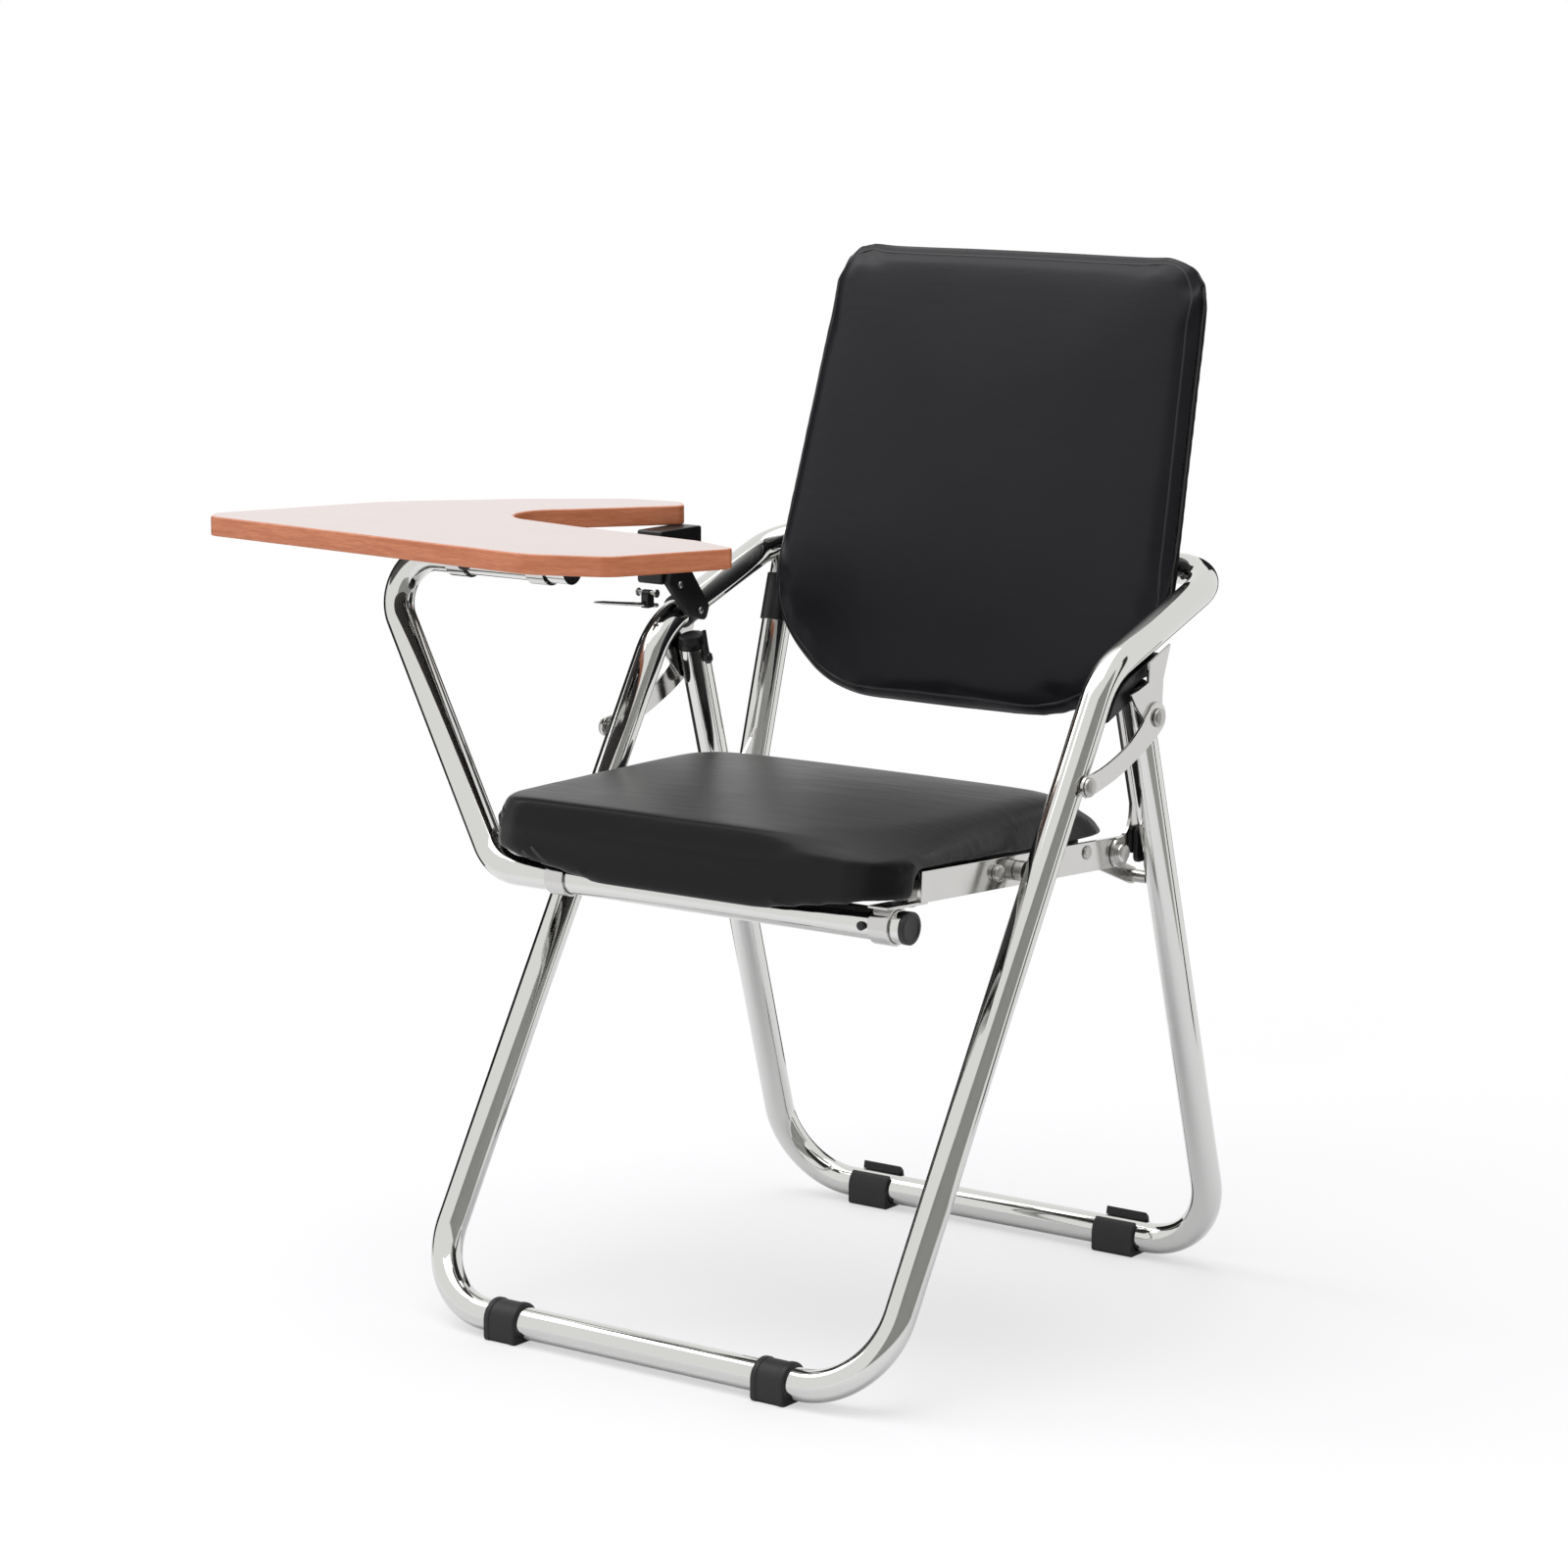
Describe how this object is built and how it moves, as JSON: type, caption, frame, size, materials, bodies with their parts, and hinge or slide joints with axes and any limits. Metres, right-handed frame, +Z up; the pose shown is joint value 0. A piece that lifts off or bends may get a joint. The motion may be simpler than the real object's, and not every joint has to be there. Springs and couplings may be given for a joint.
{
  "type": "folding chair with writing tablet",
  "caption": "Folding tube-frame chair with upholstered seat and backrest, folding linkage and a hinged writing tablet carried on a tube beside the right arm.",
  "frame": {"origin": "floor level, at the middle of the whole chair's box seen from above", "axes": "+Z up, -Y the way the sitter faces, +X to the sitter's left; the tablet is on the -X side"},
  "size_m": [0.7326, 0.55, 0.8375],
  "materials": {
    "chromed_steel": "bright chrome plate",
    "plated_steel": "zinc plated",
    "rubber": "moulded, matte",
    "black_plastic": "moulded, satin",
    "upholstery": "charcoal coated fabric over foam",
    "plywood": "plain ply",
    "laminate": "decorative laminate, cherry",
    "cherry_edge": "cherry edge band"
  },
  "bodies": {
    "front": {"front_frame": "chromed_steel", "front_foot_left": "rubber", "front_foot_right": "rubber", "gusset_left": "chromed_steel", "gusset_right": "chromed_steel", "brace_left": "chromed_steel", "brace_right": "chromed_steel", "leg_rivet_left": "plated_steel", "leg_rivet_right": "plated_steel", "brace_rivet_left": "plated_steel", "brace_rivet_right": "plated_steel", "back_pad": "upholstery", "back_board": "black_plastic", "bow_saddle_left": "plated_steel", "bow_saddle_right": "plated_steel", "upright": "chromed_steel", "upright_sleeve": "black_plastic", "upright_plug": "black_plastic", "seat_ear": "chromed_steel", "seat_hanger": "chromed_steel", "hanger_pad": "black_plastic", "corner_block": "black_plastic", "tablet_rest": "black_plastic", "arm_clamp": "black_plastic", "latch_pin": "plated_steel", "release_pull": "black_plastic"},
    "rear": {"rear_frame": "chromed_steel", "rear_foot_left": "rubber", "rear_foot_right": "rubber", "rear_plug_left": "black_plastic", "rear_plug_right": "black_plastic"},
    "seat": {"seat_rail_left": "chromed_steel", "seat_rail_right": "chromed_steel", "seat_pivot_left": "plated_steel", "seat_pivot_right": "plated_steel", "rail_block_left": "plated_steel", "rail_block_right": "plated_steel", "link_pin_left": "plated_steel", "link_pin_right": "plated_steel", "seat_board": "plywood", "seat_pad": "upholstery", "seat_crossbar": "plated_steel", "tablet_saddle_left": "chromed_steel", "tablet_saddle_right": "chromed_steel"},
    "link_left": {"fold_link_left": "plated_steel"},
    "link_right": {"fold_link_right": "plated_steel"},
    "tablet": {"tablet_tube": "chromed_steel", "tube_cap": "black_plastic", "run_cap": "black_plastic", "stop_screw": "plated_steel", "tablet_edge": "cherry_edge", "tablet_board": "laminate", "board_strap_inner": "plated_steel", "board_strap_outer": "plated_steel", "board_bumper": "rubber"},
    "latch": {"latch_block": "black_plastic", "latch_rod": "plated_steel"}
  },
  "joints": [
    {"name": "seat_fold", "type": "hinge", "parent": "front", "child": "seat", "pos_m": [0.12617, -0.0378, 0.3795], "axis": [1, 0, 0], "range_deg": [0, 43]},
    {"name": "rear_leg_fold", "type": "hinge", "parent": "front", "child": "rear", "pos_m": [0.12617, 0.1015, 0.484], "axis": [1, 0, 0], "range_deg": [-47.73, 0]},
    {"name": "link_left_turn", "type": "hinge", "parent": "seat", "child": "link_left", "pos_m": [0.12617, 0.06226, 0.3776], "axis": [1, 0, 0], "range_deg": [-118.03, 0]},
    {"name": "link_right_turn", "type": "hinge", "parent": "seat", "child": "link_right", "pos_m": [0.12617, 0.06226, 0.3776], "axis": [1, 0, 0], "range_deg": [-118.03, 0]},
    {"name": "tablet_flip", "type": "hinge", "parent": "seat", "child": "tablet", "pos_m": [0.12617, -0.18757, 0.35959], "axis": [1, 0, 0], "range_deg": [0, 95]},
    {"name": "latch_turn", "type": "hinge", "parent": "front", "child": "latch", "pos_m": [0.12617, 0.03381, 0.553], "axis": [1, 0, 0], "range_deg": [0, 35], "stiffness_Nm_per_rad": 0.05, "springref_deg": -20.05}
  ],
  "couplings": [
    {"joint": "rear_leg_fold", "follows": "seat_fold", "ratio": -1.1098},
    {"joint": "link_left_turn", "follows": "seat_fold", "ratio": -2.7446},
    {"joint": "link_right_turn", "follows": "seat_fold", "ratio": -2.7446}
  ]
}
